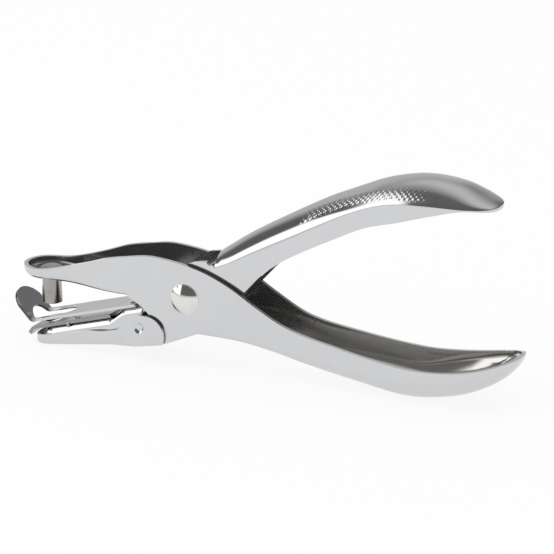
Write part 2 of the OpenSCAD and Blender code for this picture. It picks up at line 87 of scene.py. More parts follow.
def polyline(corners, count):  # points at even steps along straight runs
    c = np.array(corners, float)
    way = np.concatenate([[0], np.cumsum(np.linalg.norm(np.diff(c, axis=0), axis=1))])
    at = np.linspace(0, way[-1], count)
    return np.stack([np.interp(at, way, c[:, 0]), np.interp(at, way, c[:, 1])], -1)


def arcPoints(mid, radius, start, end, count):  # points on a circle, angles in degrees
    a = np.radians(np.linspace(start, end, count))
    return np.stack([mid[0] + radius * np.cos(a), mid[1] + radius * np.sin(a)], -1)


def weld(grids, mirrored):
    # grids of points become quads; the far half is the near half mirrored in y;
    # corners that fall together become one, and quads with a shrunk side become triangles
    points, quads, start = [], [], 0
    for grid, flip in grids:
        for side in ((1, -1) if mirrored else (1,)):
            rows, cols = grid.shape[:2]
            index = np.arange(rows * cols).reshape(rows, cols) + start
            quad = np.stack([index[:-1, :-1], index[1:, :-1], index[1:, 1:], index[:-1, 1:]], -1)
            quad = quad.reshape(-1, 4)
            quads.append(quad[:, ::-1] if flip == (side > 0) else quad)
            points.append((grid * np.array([1, side, 1])).reshape(-1, 3))
            start += rows * cols
    points, quads = np.concatenate(points), np.concatenate(quads)
    cells = np.floor(points / layout["weld"] + 0.37).astype(np.int64)  # 0.37 keeps y = 0 off a cell's border
    first, back = np.unique(cells, axis=0, return_index=True, return_inverse=True)[1:]
    quads = back.reshape(-1)[quads]
    shrunk = quads == np.roll(quads, -1, axis=1)
    count = shrunk.sum(1)
    threes = quads[count == 1][~shrunk[count == 1]].reshape(-1, 3)
    return points[first], quads[count == 0].tolist() + threes.tolist()


def addPiece(name, node, body, shape, material,
             wall=0.0, offset=-1.0, edge=0.0, inside=None, cut=None):
    # wall is a sheet's thickness and edge the rounding of its rims, both in millimetres;
    # inside and cut are the materials of its inner face and of its cut edges
    points, faces = shape
    mesh = bpy.data.meshes.new(name)
    mesh.from_pydata(toMetres(points).tolist(), [], faces)
    mesh.polygons.foreach_set("use_smooth", np.ones(len(mesh.polygons), bool))
    mesh.materials.append(material)
    mesh.update()
    piece = bpy.data.objects.new(name, mesh)
    bpy.context.scene.collection.objects.link(piece)
    if wall:
        shell = piece.modifiers.new("sheet", "SOLIDIFY")
        shell.thickness, shell.offset = wall * 0.001, offset
        if inside:
            mesh.materials.append(inside)
            shell.material_offset = 1
        if cut:
            mesh.materials.append(cut)
            shell.material_offset_rim = len(mesh.materials) - 1
    if edge:
        rim = piece.modifiers.new("rim", "BEVEL")
        rim.width, rim.segments = edge * 0.001, 3
        rim.limit_method, rim.angle_limit = "ANGLE", np.radians(layout["rimAngle"])
        shade = piece.modifiers.new("shading", "WEIGHTED_NORMAL")
        shade.keep_sharp = False
    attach(piece, body)
    if node:
        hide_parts(node)
    print("piece", name, len(faces), "faces")
    return piece


class Socket:  # a shader value that takes part in Python sums
    def __init__(self, tree, out):
        self.tree, self.out = tree, out

    def node(self, kind, settings=None, **links):
        made = self.tree.nodes.new(kind)
        for key, value in (settings or {}).items():
            setattr(made, key, value)
        for key, value in links.items():  # i0, i1 and so on are sockets by number, the others by name
            numbered = key[0] == "i" and key[1:].isdigit()
            socket = made.inputs[int(key[1:]) if numbered else key.replace("_", " ")]
            if isinstance(value, Socket):
                self.tree.links.new(value.out, socket)
            else:
                socket.default_value = value
        return made

    def sum(self, operation, a, b):
        made = self.node("ShaderNodeMath", {"operation": operation}, i0=a, i1=b)
        return Socket(self.tree, made.outputs[0])

    def get(self, made, name):
        return Socket(self.tree, made.outputs[name])

    def __add__(self, other): return self.sum("ADD", self, other)
    def __radd__(self, other): return self.sum("ADD", other, self)
    def __sub__(self, other): return self.sum("SUBTRACT", self, other)
    def __rsub__(self, other): return self.sum("SUBTRACT", other, self)
    def __mul__(self, other): return self.sum("MULTIPLY", self, other)
    def __rmul__(self, other): return self.sum("MULTIPLY", other, self)

    def clip(self, low, high):
        made = self.node("ShaderNodeMapRange", {"clamp": True}, Value=self, From_Min=low, From_Max=high)
        return Socket(self.tree, made.outputs["Result"])


metalMix = {"haze": (0.3, 0.7), "hazeShare": 0.75, "rub": (0.35, 0.65), "rubShare": 0.25, "depth": 0.0002}


def metal(name, finish):
    # polished or satin metal: haze and fine rubbing marks vary its colour, gloss and relief
    made = bpy.data.materials.new(name)
    made.use_nodes = True
    tree = made.node_tree
    tree.nodes.clear()
    kit = Socket(tree, None)
    place = kit.get(kit.node("ShaderNodeTexCoord"), "Object")
    stretched = kit.get(kit.node("ShaderNodeMapping", Vector=place, Scale=finish["stretch"]), "Vector")
    haze = kit.get(kit.node("ShaderNodeTexNoise", Vector=place, Scale=finish["hazeScale"], Detail=3.0), "Fac")
    rub = kit.get(kit.node("ShaderNodeTexNoise", Vector=stretched, Scale=finish["rubScale"], Detail=4.0), "Fac")
    grip = kit.get(kit.node("ShaderNodeAttribute", {"attribute_name": "grip"}), "Fac")
    mix = metalMix
    tone = haze.clip(*mix["haze"]) * mix["hazeShare"] + rub.clip(*mix["rub"]) * mix["rubShare"]
    colour = kit.node("ShaderNodeMix", {"data_type": "RGBA"}, Factor=tone)
    colour.inputs[6].default_value = (*finish["low"], 1)
    colour.inputs[7].default_value = (*finish["high"], 1)
    if "deep" in finish:  # painted shade: a darker tone that comes in towards the jaws, between two distances from the middle, standing in for shade
        dark, start, end = finish["deep"]
        towards = 0 - kit.get(kit.node("ShaderNodeSeparateXYZ", Vector=place), "X")
        plated = Socket(tree, colour.outputs[2])
        colour = kit.node("ShaderNodeMix", {"data_type": "RGBA"}, Factor=towards.clip(start, end), i6=plated)
        colour.inputs[7].default_value = (*dark, 1)
    gloss = finish["rough"] + finish["vary"] * tone + finish["gripRough"] * grip
    bump = kit.node("ShaderNodeBump", Height=rub * 0.5 + haze * 0.5, Strength=finish["relief"], Distance=mix["depth"])
    shader = kit.node("ShaderNodeBsdfPrincipled", Metallic=finish["metallic"], Roughness=gloss,
                      Base_Color=Socket(tree, colour.outputs[2]), Normal=kit.get(bump, "Normal"))
    out = tree.nodes.new("ShaderNodeOutputMaterial")
    tree.links.new(shader.outputs[0], out.inputs[0])
    return made


chromeFinish = {"low": (0.62, 0.625, 0.635), "high": (0.65, 0.655, 0.665), "rough": 0.03, "vary": 0.05,
                "gripRough": 0.14, "hazeScale": 55.0, "rubScale": 900.0, "stretch": (1, 1, 0.6),
                "relief": 0.008, "metallic": 1.0}
# the inside colour's deep entry is painted shade: it darkens towards the jaws, standing in for the shade inside the
# channels
insideFinishAndShade = {"low": (0.57, 0.56, 0.54), "high": (0.63, 0.62, 0.60), "rough": 0.09, "vary": 0.08,
                "gripRough": 0.0, "hazeScale": 80.0, "rubScale": 600.0, "stretch": (0.4, 1, 1),
                "relief": 0.01, "metallic": 0.92,
                "deep": ((0.40, 0.40, 0.40), 0.004, 0.014)}
# painted shade: the guide's cut edge darkens to nearly black at its front tab, standing in for the dark gap between
# guide and die
guideEdgePaintedShade = dict(chromeFinish, deep=((0.10, 0.10, 0.10), 0.0690, 0.0712))
# painted shade: the die plate is a darker copy of the chrome, standing in for the shade under the paper guide
dieFinishAndShade = dict(chromeFinish, low=(0.26, 0.265, 0.27), high=(0.33, 0.335, 0.34), rough=0.1)
rivetFinish = {"low": (0.70, 0.69, 0.67), "high": (0.78, 0.77, 0.75), "rough": 0.05, "vary": 0.06,
               "gripRough": 0.0, "hazeScale": 240.0, "rubScale": 1500.0, "stretch": (1, 1, 1),
               "relief": 0.02, "metallic": 1.0}
toolFinish = {"low": (0.33, 0.315, 0.295), "high": (0.43, 0.41, 0.385), "rough": 0.16, "vary": 0.1,
              "gripRough": 0.0, "hazeScale": 300.0, "rubScale": 900.0, "stretch": (0.15, 0.15, 3.0),
              "relief": 0.12, "metallic": 1.0}
wireFinish = {"low": (0.34, 0.34, 0.34), "high": (0.46, 0.46, 0.45), "rough": 0.2, "vary": 0.12,
              "gripRough": 0.0, "hazeScale": 260.0, "rubScale": 1400.0, "stretch": (1, 0.3, 1),
              "relief": 0.08, "metallic": 1.0}
chrome = metal("polished_chrome", chromeFinish)
insideChromeShaded = metal("inside_chrome_painted_shade", insideFinishAndShade)
guideEdge = metal("guide_cut_edge_painted_shade", guideEdgePaintedShade)
dieChromeShaded = metal("die_chrome_painted_shade", dieFinishAndShade)
rivetSteel = metal("polished_rivet", rivetFinish)
toolSteel = metal("turned_tool_steel", toolFinish)
springWire = metal("drawn_wire", wireFinish)
print("materials made")


def inward(x, y):  # unit vectors to the left of a plan path that starts at a tip
    tx, ty = np.gradient(x), np.gradient(y)
    size = np.hypot(tx, ty)
    return -ty / size, tx / size


def tipPath(start, length, power, count):  # end of a superellipse: x runs to the tip as the width falls to 0
    a = np.linspace(0, np.pi / 2, count)
    return start + length * np.sin(a) ** (2 / power), np.cos(a).clip(0) ** (2 / power)


def shares(length, count):  # parts of a wall from 0 to 1: even rows, with the outer ones a quarter millimetre wide
    narrow = np.minimum(0.25 / length, 0.4)[:, None]
    inner = narrow + (1 - 2 * narrow) * np.linspace(0, 1, count - 2)
    return np.concatenate([0 * narrow, inner, 0 * narrow + 1], 1)


def pressed(x, half, normal, edge, wallEnd, web, run, power, counts, hole=None, slant=0.0):
    # near half of a pressed channel: straight wall from its edge, a bend that turns inwards along
    # the normal of the plan path, and a web to the middle (or to the rim of a hole);
    # slant carries the bend and the web on along x, so that an end is cut aslant
    nx, ny = normal
    down = shares(np.abs(wallEnd - edge), counts[0])
    wall = np.stack([x[:, None] + 0 * down, -half[:, None] + 0 * down,
                     edge[:, None] + (wallEnd - edge)[:, None] * down], -1)
    a = np.linspace(0, np.pi / 2, counts[1])[1:]
    step = run[:, None] * (1 - np.cos(a).clip(0) ** (2 / power[:, None]))
    sway = np.sin(a) * (slant + 0 * x)[:, None]
    bx, by = x[:, None] + nx[:, None] * step + sway, -half[:, None] + ny[:, None] * step
    by = np.minimum(by, 0)
    deep = (web(x) - wallEnd)[:, None] * np.sin(a) ** (2 / power[:, None])
    bend = np.stack([bx, by, web(bx) - web(x)[:, None] + wallEnd[:, None] + deep], -1)
    if counts[2] < 2:
        return np.concatenate([wall, bend], 1)
    v = np.linspace(0, 1, counts[2])[1:]
    end = bend[:, -1]
    stop = np.zeros(len(x)) if hole is None else -hole(end[:, 0])
    across = np.maximum(stop, end[:, 1]) - end[:, 1]
    floor = np.stack([end[:, 0:1] + 0 * v, end[:, 1:2] + across[:, None] * v], -1)
    floor = np.concatenate([floor, web(floor[..., 0])[..., None]], -1)
    return np.concatenate([wall, bend, floor], 1)


def ruled(top, bottom, count, depth):  # straight lines from one side outline to another, at the width depth(x, z)
    v = shares(np.linalg.norm(bottom - top, axis=1), count)[..., None]
    flat = top[:, None, :] * (1 - v) + bottom[:, None, :] * v
    return np.stack([flat[..., 0], -depth(flat[..., 0], flat[..., 1]), flat[..., 1]], -1)


frameShape = {
    "edge": [(-54.17, 2.5), (-44.91, 2.7), (-31.02, 6.6), (-25, 8.75), (-17.13, 10.3), (-10.19, 11.2),
             (3.96, 9.2), (13.86, 5.3), (21.78, 0.6), (31.68, -4.4), (46.53, -7.5), (65.34, -10),
             (75.24, -10), (87.12, -8.4), (99, -5.1)],
    "web": [(0, -10.1), (15.84, -10.5), (26.73, -12.2), (35.64, -14.3), (55.44, -17.75), (68.31, -19.4), (79.2, -18),
            (88.11, -15.2), (96.03, -10.9), (99, -8.5)],
    "half": [(-54.3, 7.4), (-46.9, 7.4), (-37.04, 6.7), (-25.46, 7.9), (-19.45, 7.9), (9.9, 7.9), (23.76, 7.9),
             (32.67, 7.9), (49.5, 9.04), (67.32, 10.51), (77.22, 11.3), (99, 11.3)],
    "noseMid": -46.9, "noseRadius": 7.4, "floor": -0.8, "sag": 0.7, "sagSpan": (-42, 22),
    "noseBend": 2.2, "cheekBend": 1.35, "gripBend": 4.6, "gripShare": 0.6, "gripFade": 60,
    "windowFront": -18.15, "windowRear": 6.16, "cutBack": 2.96, "cutFade": 8,
    "tipStart": 79.0, "tipLength": 20.0, "tipPower": 2.4,
    "riseMost": 0.85, "dishRise": 0.92, "dishSpan": (58, 26),
    "throatFront": [(-18.1, -1.35), (-17.6, -1.75), (-14.3, -3.5)],
    "throatArc": ((-19, -11.6), 9.4, 48, -8, 30),
    "throatRear": [(-8.9, -13.7), (-8.2, -14.1), (-7.2, -14.4), (-6.4, -14.3)],
    "fanPower": 0.8, "flow": 1.5, "rows": (12, 12, 8), "rim": 0.22,
}


def frameSheet(f):
    edge = lambda x: flowing(f["edge"], x, f["flow"])
    web = lambda x: flowing(f["web"], x, f["flow"])
    halfAt = lambda x: flowing(f["half"], x, f["flow"])
    rows = f["rows"]
    # upper jaw: half a circle of wall round the nose, then the neck
    a = np.linspace(np.pi / 2, 0, 30)
    neck = np.linspace(f["noseMid"], f["windowFront"], 48)[1:]
    noseHalf = halfAt(np.array([f["noseMid"]]))[0]
    x = np.concatenate([f["noseMid"] - f["noseRadius"] * np.sin(a), neck])
    half = np.concatenate([noseHalf * np.cos(a), halfAt(neck)])
    nx, ny = inward(x, -half)
    nx[0], ny[0], nx[-1], ny[-1] = 1, 0, 0, 1
    back = ease((x - f["noseMid"]) / (f["windowFront"] - f["noseMid"]))
    bend = f["noseBend"] + (f["cheekBend"] - f["noseBend"]) * back
    level = lambda x: f["floor"] - f["sag"] * easeOver(x, f["sagSpan"])
    jaw = pressed(x, half, (nx, ny), edge(x), level(x) + bend, level, bend, circular(x), rows)
    # lower handle: the section grows rounder towards the tip
    straight = np.linspace(f["windowRear"], f["tipStart"], 70)
    tipX, fall = tipPath(f["tipStart"], f["tipLength"], f["tipPower"], 34)
    x = np.concatenate([straight, tipX[1:]])
    half = halfAt(x) * np.concatenate([np.ones(len(straight)), fall[1:]])
    nx, ny = inward(x, -half)
    nx[0], ny[0], nx[-1], ny[-1] = 0, 1, -1, 0
    grown = ease((x - f["windowRear"]) / (f["tipStart"] - f["windowRear"]))
    rise = f["cheekBend"] + (f["gripBend"] - f["cheekBend"]) * grown
    wider = np.clip(f["gripShare"] * halfAt(x) - f["gripBend"], 0, None)
    run = rise + grown * wider * roundOff((x - f["tipStart"]) / f["gripFade"], 2)
    depth = edge(x) - web(x)
    dish = easeOver(x, f["dishSpan"])
    rise = np.minimum(rise, f["riseMost"] * depth) * (1 - dish) + f["dishRise"] * depth * dish
    slant = -f["cutBack"] * (1 - easeOver(x, (f["windowRear"], f["cutFade"])))
    grip = pressed(x, half, (nx, ny), edge(x), web(x) + rise, web, run, circular(x), rows, slant=slant)
    # cheek: flat, between the upper edge and the throat's outline
    low = np.concatenate([
        [(f["windowFront"], f["floor"] - f["sag"] + f["cheekBend"])], f["throatFront"],
        arcPoints(*f["throatArc"]), f["throatRear"], [(f["windowRear"], grip[0, rows[0] - 1, 2])]])
    low = polyline(low, 150)
    t = np.linspace(0, 1, len(low))
    span = f["windowRear"] - f["windowFront"]
    topX = f["windowFront"] + span * t ** f["fanPower"]
    cheek = ruled(np.stack([topX, edge(topX)], -1), low, rows[0], lambda x, z: halfAt(x))
    return weld([(jaw, True), (cheek, True), (grip, True)], True)


addPiece("frame_sheet", "frame", "frame", frameSheet(frameShape), chrome,
         wall=layout["sheet"], edge=frameShape["rim"], inside=insideChromeShaded)

leverShape = {
    "edge": [(-14, -14.52), (-9.3, -12), (0, -8.8), (8, -5), (14, 0), (18.5, 4.6), (23.4, 10), (28.5, 14), (36, 18.5),
             (46, 23.8), (55.45, 28.5), (65.27, 31.5), (74.17, 34.4), (84.09, 36.8), (91.8, 36.0)],
    "web": [(0, 8.2), (8.7, 14), (16.7, 19.5), (26.3, 25.2), (40.4, 33.0), (49.85, 37.3), (59.12, 41.1),
            (69.95, 43.2), (79.96, 42.2), (86.94, 39.4), (91.8, 37.9)],
    "wallTop": [(8.7, 9.8), (12, 10.8), (19, 14.2), (26.7, 18.1), (34, 22.0), (41.8, 26.5), (49, 30.6), (57, 34.1),
                (64, 36.1), (72.5, 36.9), (80, 37.2), (91.8, 36.8)],
    "half": [(-47.88, 6.4), (-10, 6.4), (8, 6.4), (20, 6.4), (29.38, 6.98), (44.52, 8.39), (59.67, 9.81),
             (71.6, 10.9), (91.8, 10.9)],
    "windowFront": -14.2, "windowRear": 8.7, "tipStart": 74.8, "tipLength": 17.0, "tipPower": 2.3,
    "wallLeast": 0.3, "crownPower": 1.75, "crownEnd": (84.5, 7.3), "crownEndPower": 2.4,
    "jawMid": -42.277, "jawFront": 5.6, "jawHalf": 6.4, "jawPower": 2.6, "jawBend": 2.6, "jawRows": (8, 10),
    "crestFront": [(-13.6, -5.2), (-12.2, -4)], "humpArc": ((8, -4), 16.0, 172, 112, 40),
    "crestRear": [(4.2, 11.2), (6.3, 11.5)], "notchArc": ((7.4, 11.5), 1.1, 180, 322, 12),
    "lowBlend": 1.5, "lowEven": 0.4, "flow": 1.2, "halfFlow": 1.5, "rows": (10, 48, 1), "rim": 0.22,
    "knurl": {"from": 34.0, "to": 75.5, "step": 0.25, "pitch": 1.6, "height": 0.12, "fade": 3.5,
              "band": (0.34, 0.18, 0.34), "bandSpan": (40, 30), "bandFade": 0.05,
              "satinSpan": (38, 26), "satinRise": 2},
}
jawShape = {"dieX": -44.8769, "dieZ": -14.1829, "slope": 15.5, "plate": 1.0, "slot": 1.2, "ramp": (20.3, 26.4),
            "hole": 3.78, "holeReach": 3.64, "rimDrop": 0.7, "rimFade": 0.8}
trayShape = {
    "edge": [(-49.977, -18.174), (-42.277, -16.362), (-32, -14.074), (-22, -12.205), (-15.5, -6.9),
             (-12, -6.1), (-5.6, -6.1)],
    "wall": [(-49.977, 7.45), (-42.277, 7.45), (-26, 7.45), (-23.5, 7.45), (-18.5, 8.95), (-16, 8.95), (-6, 8.95)],
    "front": -49.977, "frontPower": 2.6, "toe": 2.0, "lift": 0.63, "slope": 7.8, "sheet": 0.8, "bend": 0.8,
    "floorEnd": -17.1, "cutBack": 1.2, "cutFrom": -22, "jawGap": 0.5,
    "earLow": [(-16.0, -15.85), (-15.4, -15.95), (-7.3, -14.45), (-6.8, -14.36)],
    "ear": (-11.9, -12.1), "earRadius": 5.7, "earSpan": (-14.5, 2.3), "dimple": (1.9, 1.1),
    "stud": (-14.0, -10.2), "studRadius": 1.4, "studEnds": (5.2, 8.4), "studBend": 0.2,
    "edgeFlow": 0.6, "wallFlow": 0.5, "rows": (26, 9, 8), "rim": 0.16,
}


def trayLine(x):  # underside of the tray's sloping floor
    t = trayShape
    return (x - t["front"] - t["toe"]) * np.tan(np.radians(t["slope"])) - layout["pivotHeight"]


def jawLine(x):  # top of the open lower jaw: the die's seat, then a step up to the guide's seat
    j = jawShape
    u = (x - j["dieX"]) / np.cos(np.radians(j["slope"]))
    w = -j["plate"] + (j["slot"] + j["plate"]) * ease((u - j["ramp"][0]) / (j["ramp"][1] - j["ramp"][0]))
    return j["dieZ"] + (x - j["dieX"]) * np.tan(np.radians(j["slope"])) + w / np.cos(np.radians(j["slope"]))


def jawLow(x):  # lower edge of the jaw: a small gap over the tray's floor, lifted with its toe
    t = trayShape
    lifted = t["lift"] * ease((t["front"] + t["sheet"] + t["toe"] - x) / t["toe"])
    return trayLine(x) + t["sheet"] / np.cos(np.radians(t["slope"])) + t["jawGap"] + lifted


def onCrown(grid, k):
    # pressed points of the grip: a slanting lattice of round dots, raised along the surface's normal
    du, dv = np.gradient(grid, axis=0), np.gradient(grid, axis=1)
    normal = np.cross(du, dv)
    normal /= np.linalg.norm(normal, axis=-1, keepdims=True).clip(1e-9)
    u = np.cumsum(np.linalg.norm(np.diff(grid[:, -1:], axis=0, prepend=grid[:1, -1:]), axis=-1), 0)
    v = np.cumsum(np.linalg.norm(np.diff(grid[:, ::-1], axis=1, prepend=grid[:, -1:]), axis=-1), 1)[:, ::-1]
    p, q = (u + v) / k["pitch"] * np.pi, (u - v) / k["pitch"] * np.pi
    dots = (np.cos(p) * np.cos(q)) ** 2
    x = grid[..., 0]
    mask = ease((x - k["from"]) / k["fade"]) * ease((k["to"] - x) / k["fade"])
    part = np.linspace(0, 1, grid.shape[1])[None, :]
    low = k["band"][0] - k["band"][1] * easeOver(x, k["bandSpan"])
    mask = mask * ease((part - low) / k["bandFade"]) * ease((low + k["band"][2] - part) / k["bandFade"])
    return grid + normal * (k["height"] * dots * mask)[..., None]


def leverSheet(f):
    edge = lambda x: flowing(f["edge"], x, f["flow"])
    web = lambda x: flowing(f["web"], x, f["flow"])
    wallTop = lambda x: flowing(f["wallTop"], x, f["flow"])
    halfAt = lambda x: flowing(f["half"], x, f["halfFlow"])
    rows, k = f["rows"], f["knurl"]
    wallRows = rows[0]
    # upper handle: side wall, then a crown that leans in soon and runs round to the middle
    straight = np.concatenate([np.linspace(f["windowRear"], k["from"], 16)[:-1],
                               np.arange(k["from"], f["tipStart"], k["step"]), [f["tipStart"]]])
    tipX, fall = tipPath(f["tipStart"], f["tipLength"], f["tipPower"], 40)
    x = np.concatenate([straight, tipX[1:]])
    half = halfAt(x) * np.concatenate([np.ones(len(straight)), fall[1:]])
    nx, ny = np.zeros(len(x)), np.ones(len(x))
    low = edge(x)
    shoulder = np.maximum(wallTop(x), low + f["wallLeast"])
    start, length = f["crownEnd"]
    crown = shoulder + (web(x) - shoulder) * roundOff((x - start) / length, f["crownEndPower"])
    power = np.full(len(x), f["crownPower"])
    top = lambda at: np.interp(at, x, crown)
    grip = pressed(x, half, (nx, ny), low, shoulder, top, half, power, rows)
    grip = np.concatenate([grip[:, :wallRows - 1], onCrown(grip[:, wallRows - 1:], k)], 1)
    grip[:, -1, 1] = 0
    # lower jaw, with stations at the die's hole
    jawX, fall = tipPath(f["jawMid"], -f["jawFront"], f["jawPower"], 22)
    atHole = jawShape["dieX"] + jawShape["holeReach"] * np.cos(np.linspace(0, np.pi, 25))
    back = np.unique(np.concatenate([np.linspace(f["jawMid"], f["windowFront"], 90), atHole]))
    back = back[back > f["jawMid"]]
    x = np.concatenate([jawX[::-1], back])
    half = f["jawHalf"] * np.concatenate([fall[::-1], np.ones(len(back))])
    nx, ny = inward(x, -half)
    nx[0], ny[0], nx[-1], ny[-1] = 1, 0, 0, 1
    bend = np.minimum(f["jawBend"], layout["bendMost"] * (jawLine(x) - jawLow(x)))
    lean = np.cos(np.radians(jawShape["slope"]))
    hole = lambda at: np.sqrt(np.clip(jawShape["hole"] ** 2 - ((at - jawShape["dieX"]) / lean) ** 2, 0, None))
    jaw = pressed(x, half, (nx, ny), jawLow(x), jawLine(x) - bend, jawLine, bend, circular(x),
                  (wallRows, *f["jawRows"]), hole)
    # the front rim lies lower inside the die's hole, clear of the punch
    within = jawShape["hole"] - np.hypot((jaw[..., 0] - jawShape["dieX"]) / lean, jaw[..., 1])
    upTheWall = np.clip(np.arange(jaw.shape[1]) / wallRows, 0, 1)
    jaw[..., 2] -= jawShape["rimDrop"] * ease(within / jawShape["rimFade"]) * upTheWall
    # cheek between the hump over the pivot and the lower edge
    crest = np.concatenate([
        [(f["windowFront"], jaw[-1, wallRows - 1, 2])], f["crestFront"], arcPoints(*f["humpArc"]),
        f["crestRear"], arcPoints(*f["notchArc"]), [(f["windowRear"], grip[0, wallRows - 1, 2])]])
    crest = polyline(crest, 120)
    t = np.linspace(0, 1, len(crest))
    span = f["windowRear"] - f["windowFront"]
    reached = np.maximum.accumulate((crest[:, 0] - f["windowFront"]) / span)
    lowX = f["windowFront"] + span * (f["lowEven"] * t + (1 - f["lowEven"]) * reached)
    blend = easeOver(lowX, (f["windowFront"], f["lowBlend"]))
    lowZ = jawLow(lowX) * (1 - blend) + edge(lowX) * blend
    cheek = ruled(np.stack([lowX, lowZ], -1), crest, wallRows, lambda x, z: np.full_like(x, f["jawHalf"]))
    return weld([(grip, False), (jaw, False), (cheek, False)], True)


lever = addPiece("lever_sheet", "lever", "lever", leverSheet(leverShape), chrome,
                 wall=layout["sheet"], edge=leverShape["rim"], inside=insideChromeShaded)


def markGrip(piece):  # satin where the dots are: 1 on the crown between the ends of the pressed field
    place = np.empty(len(piece.data.vertices) * 3)
    piece.data.vertices.foreach_get("co", place)
    place = place.reshape(-1, 3) * 1000 + np.array([layout["middle"], 0, -layout["pivotHeight"]])
    x, z = place[:, 0], place[:, 2]
    k = leverShape["knurl"]
    over = z - flowing(leverShape["wallTop"], x, leverShape["flow"])
    share = easeOver(x, k["satinSpan"]) * ease(over / k["satinRise"])
    piece.data.attributes.new("grip", "FLOAT", "POINT").data.foreach_set("value", share.astype(np.float32))


markGrip(lever)


def traySheet(t):
    wallAt = lambda x: flowing(t["wall"], x, t["wallFlow"])
    edge = lambda x: flowing(t["edge"], x, t["edgeFlow"])
    base = lambda x: trayLine(x) + t["lift"] * ease((t["front"] + t["toe"] - x) / t["toe"])
    mid = leverShape["jawMid"]
    wallRows = t["rows"][0]
    tipX, fall = tipPath(mid, t["front"] - mid, t["frontPower"], 26)
    back = np.linspace(mid, t["floorEnd"], 70)[1:]
    x = np.concatenate([tipX[::-1], back])
    half = wallAt(x) * np.concatenate([fall[::-1], np.ones(len(back))])
    nx, ny = inward(x, -half)
    nx[0], ny[0], nx[-1], ny[-1] = 1, 0, 0, 1
    bend = np.minimum(t["bend"], layout["bendMost"] * (edge(x) - base(x)))
    slant = t["cutBack"] * easeOver(x, (t["cutFrom"], t["floorEnd"] - t["cutFrom"]))
    trough = pressed(x, half, (nx, ny), edge(x), base(x) + bend, base, bend, circular(x), t["rows"], slant=slant)
    ear = np.concatenate([
        [(t["floorEnd"], trough[-1, wallRows - 1, 2])], t["earLow"],
        arcPoints(t["ear"], t["earRadius"], -20, 90, 40)])
    ear = polyline(ear, 90)
    s = np.linspace(0, 1, len(ear))
    topX = t["floorEnd"] + (t["ear"][0] - t["floorEnd"]) * s
    topZ = edge(topX)
    topZ = topZ + (ear[-1, 1] - topZ) * easeOver(topX, t["earSpan"])

    def sideAt(x, z):  # the ear's plane, pressed in by a ball round the stud
        away = np.hypot(x - t["stud"][0], z - t["stud"][1])
        ball = np.sqrt(np.clip(t["dimple"][0] ** 2 - away ** 2, 0, None)) - t["dimple"][1]
        return wallAt(x) - np.clip(ball, 0, None)

    flap = ruled(np.stack([topX, topZ], -1), ear, wallRows, sideAt)
    return weld([(trough, True), (flap, True)], True)


addPiece("tray_sheet", "chip_tray", "tray", traySheet(trayShape), chrome,
         wall=trayShape["sheet"], edge=trayShape["rim"])


def turned(profile, mid, axis, count=72):
    # a profile of (radius, height) carried round an axis: "z" stands up, "y" lies along the pivot
    a = np.linspace(0, 2 * np.pi, count + 1)
    r, h = np.array(profile, float).T
    ring = np.stack([r[:, None] * np.cos(a), r[:, None] * np.sin(a), h[:, None] + 0 * a], -1)
    if axis == "y":
        ring = np.stack([ring[..., 0], -ring[..., 2], ring[..., 1]], -1)
    return ring + np.array(mid, float)


def rounded(corners, size, steps=4):  # each inner corner of a profile swapped for a small quadratic bend
    c = np.array(corners, float)
    into, out = c[:-2] - c[1:-1], c[2:] - c[1:-1]
    cut = lambda way: way * np.minimum(size / np.linalg.norm(way, axis=1), 0.45)[:, None]
    first, last = c[1:-1] + cut(into), c[1:-1] + cut(out)
    t = np.linspace(0, 1, steps)[None, :, None]
    bends = first[:, None] * (1 - t) ** 2 + 2 * c[1:-1, None] * t * (1 - t) + last[:, None] * t ** 2
    return np.concatenate([c[:1], bends.reshape(-1, 2), c[-1:]])


rivetShape = {"shank": 2.5, "headRadius": 4.5, "headHeight": 1.7, "seat": 7.92,
              "domeEnd": 0.985, "rimOut": 0.998, "rimHeight": 0.09}


def pivotRivet(s):  # domed heads, parts of a ball, on both ends of one shank
    ball = (s["headHeight"] ** 2 + s["headRadius"] ** 2) / (2 * s["headHeight"])
    a = np.linspace(0, np.arcsin(s["headRadius"] / ball) * s["domeEnd"], 22)
    dome = np.stack([ball * np.sin(a), s["seat"] + s["headHeight"] - ball + ball * np.cos(a)], -1)
    rim = [(s["headRadius"] * s["rimOut"], s["seat"] + s["rimHeight"]),
           (s["headRadius"] * s["domeEnd"], s["seat"]), (s["shank"], s["seat"])]
    upper = np.concatenate([dome, rim])
    whole = np.concatenate([upper, upper[::-1] * [1, -1]])
    return weld([(turned(whole, (0, 0, 0), "y", 96), True)], False)


addPiece("rivet_domed", "pivot_rivet", "frame", pivotRivet(rivetShape), rivetSteel)

bushShape = {"inner": 2.52, "outer": 3.3, "half": 5.1, "corner": 0.2}


def bushTube(s):  # a tube along the pivot with eased corners
    profile = rounded([(s["inner"], -s["half"]), (s["inner"], s["half"]), (s["outer"], s["half"]),
                       (s["outer"], -s["half"]), (s["inner"], -s["half"])], s["corner"])
    return weld([(turned(profile, (0, 0, 0), "y"), False)], False)


addPiece("bush_tube", "pivot_bush", "frame", bushTube(bushShape), toolSteel)

pinShape = {"radius": 3.0, "shoulder": 2.7, "tenon": 2.0, "tip": -9.1, "tipEdge": (0.12, 0.1), "floor": -0.8,
            "hollow": 10.0, "dish": 0.4, "washer": 0.6, "head": [(3.2, 0), (3.2, 0.5), (1.8, 0.88), (0, 0.9)],
            "corner": 0.14}
washerShape = {"inner": 2.02, "outer": 3.7, "low": 0.42, "high": 1.0, "corner": 0.12}


